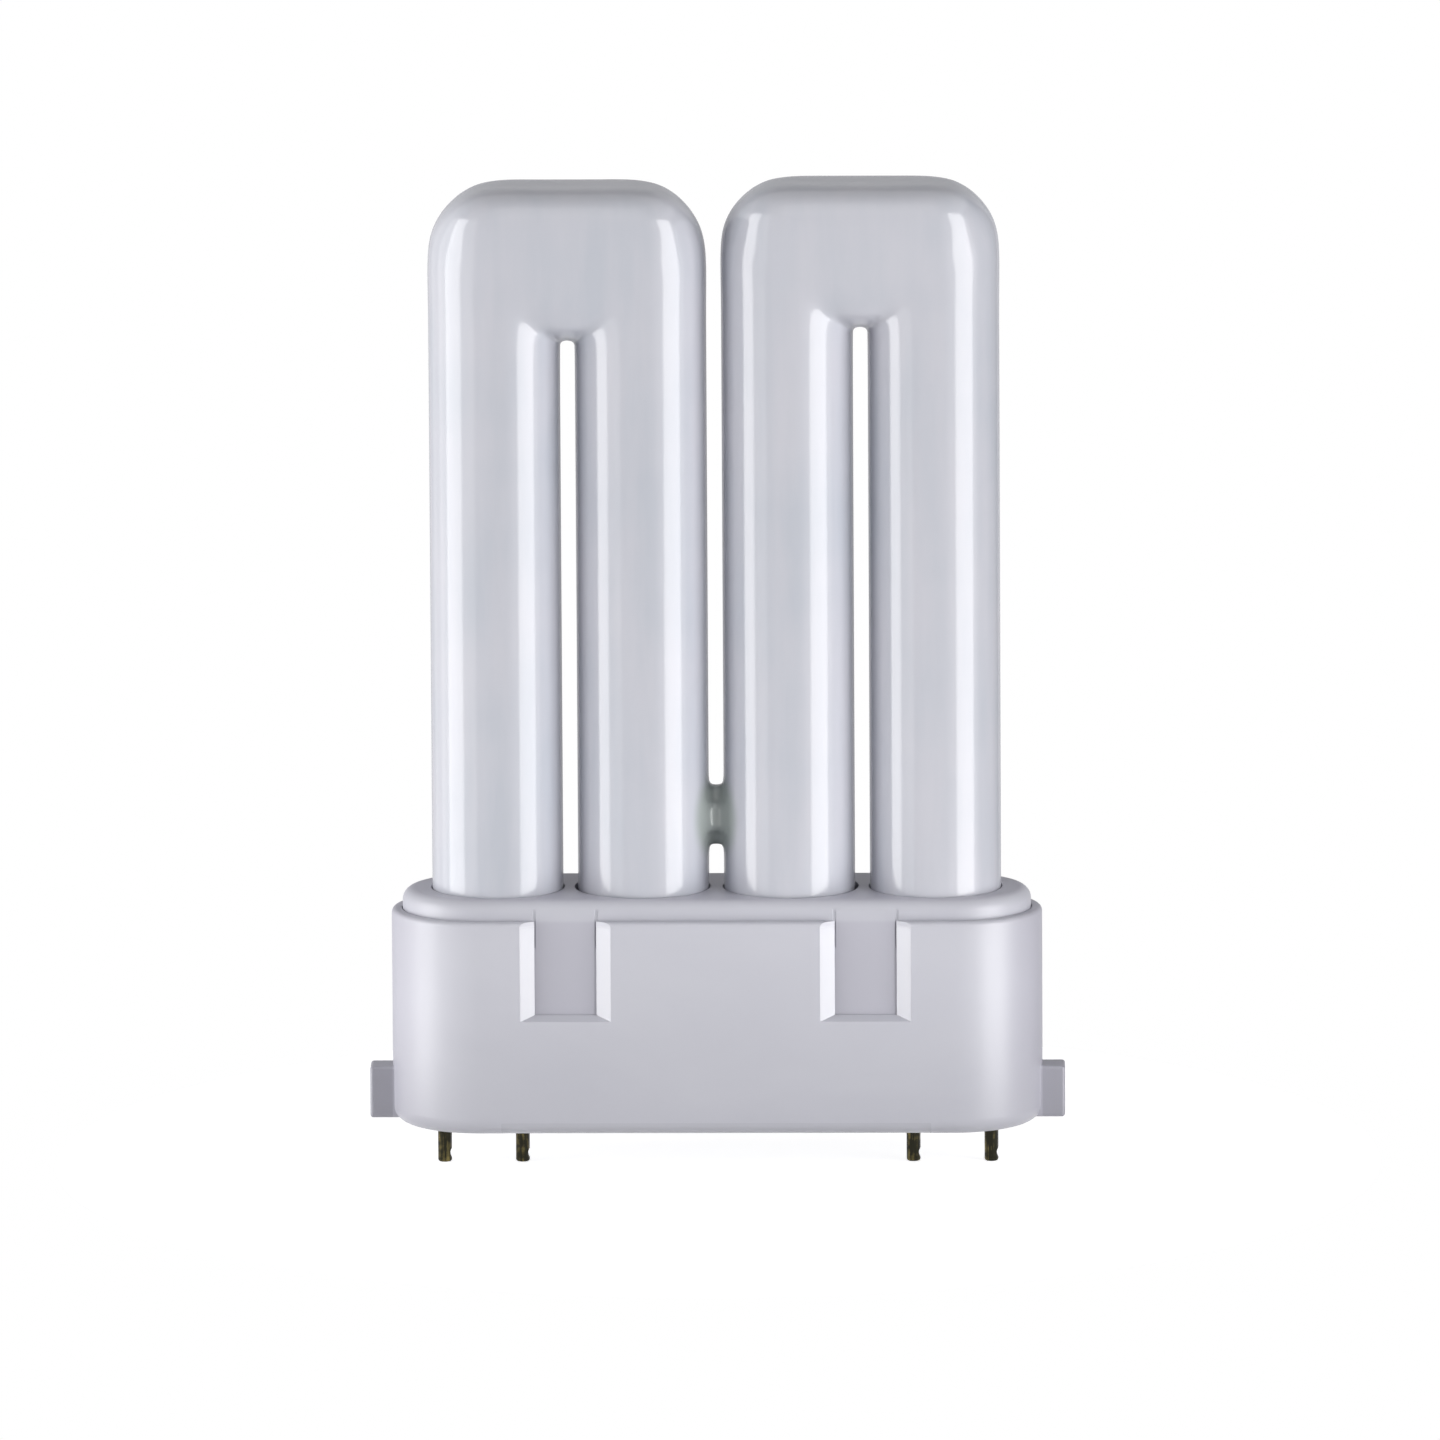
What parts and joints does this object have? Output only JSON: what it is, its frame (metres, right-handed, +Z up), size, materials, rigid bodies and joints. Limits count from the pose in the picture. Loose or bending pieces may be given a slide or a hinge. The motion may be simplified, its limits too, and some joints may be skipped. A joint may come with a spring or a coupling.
{
  "type": "pin-base compact fluorescent lamp",
  "caption": "Flat multi-leg compact fluorescent lamp: bent glass legs in one row, joined by bends and a bridge, on a moulded plastic cap with end lugs and contact pins in line.",
  "frame": {"origin": "centre of the cap's flat seat, on the row of contact pins", "axes": "+Z up along the glass legs, X along the row of legs and pins, -Y towards the viewer of the picture"},
  "size_m": [0.0892, 0.023, 0.1274],
  "materials": {
    "coated_glass": "gloss",
    "housing_plastic": "satin",
    "holder_plastic": "satin",
    "pin_brass": "tarnished",
    "lead_nickel": "drawn",
    "basing_cement": "matt"
  },
  "bodies": {
    "root": {"discharge_tube": "coated_glass", "base_housing": "housing_plastic", "tube_holder": "holder_plastic", "contact_pin_1": "pin_brass", "contact_pin_2": "pin_brass", "contact_pin_3": "pin_brass", "contact_pin_4": "pin_brass", "lead_wire_1": "lead_nickel", "lead_wire_2": "lead_nickel", "lead_wire_3": "lead_nickel", "lead_wire_4": "lead_nickel", "cement_dab_1": "basing_cement", "cement_dab_2": "basing_cement", "cement_dab_3": "basing_cement", "cement_dab_4": "basing_cement", "cement_dab_5": "basing_cement"}
  },
  "joints": []
}
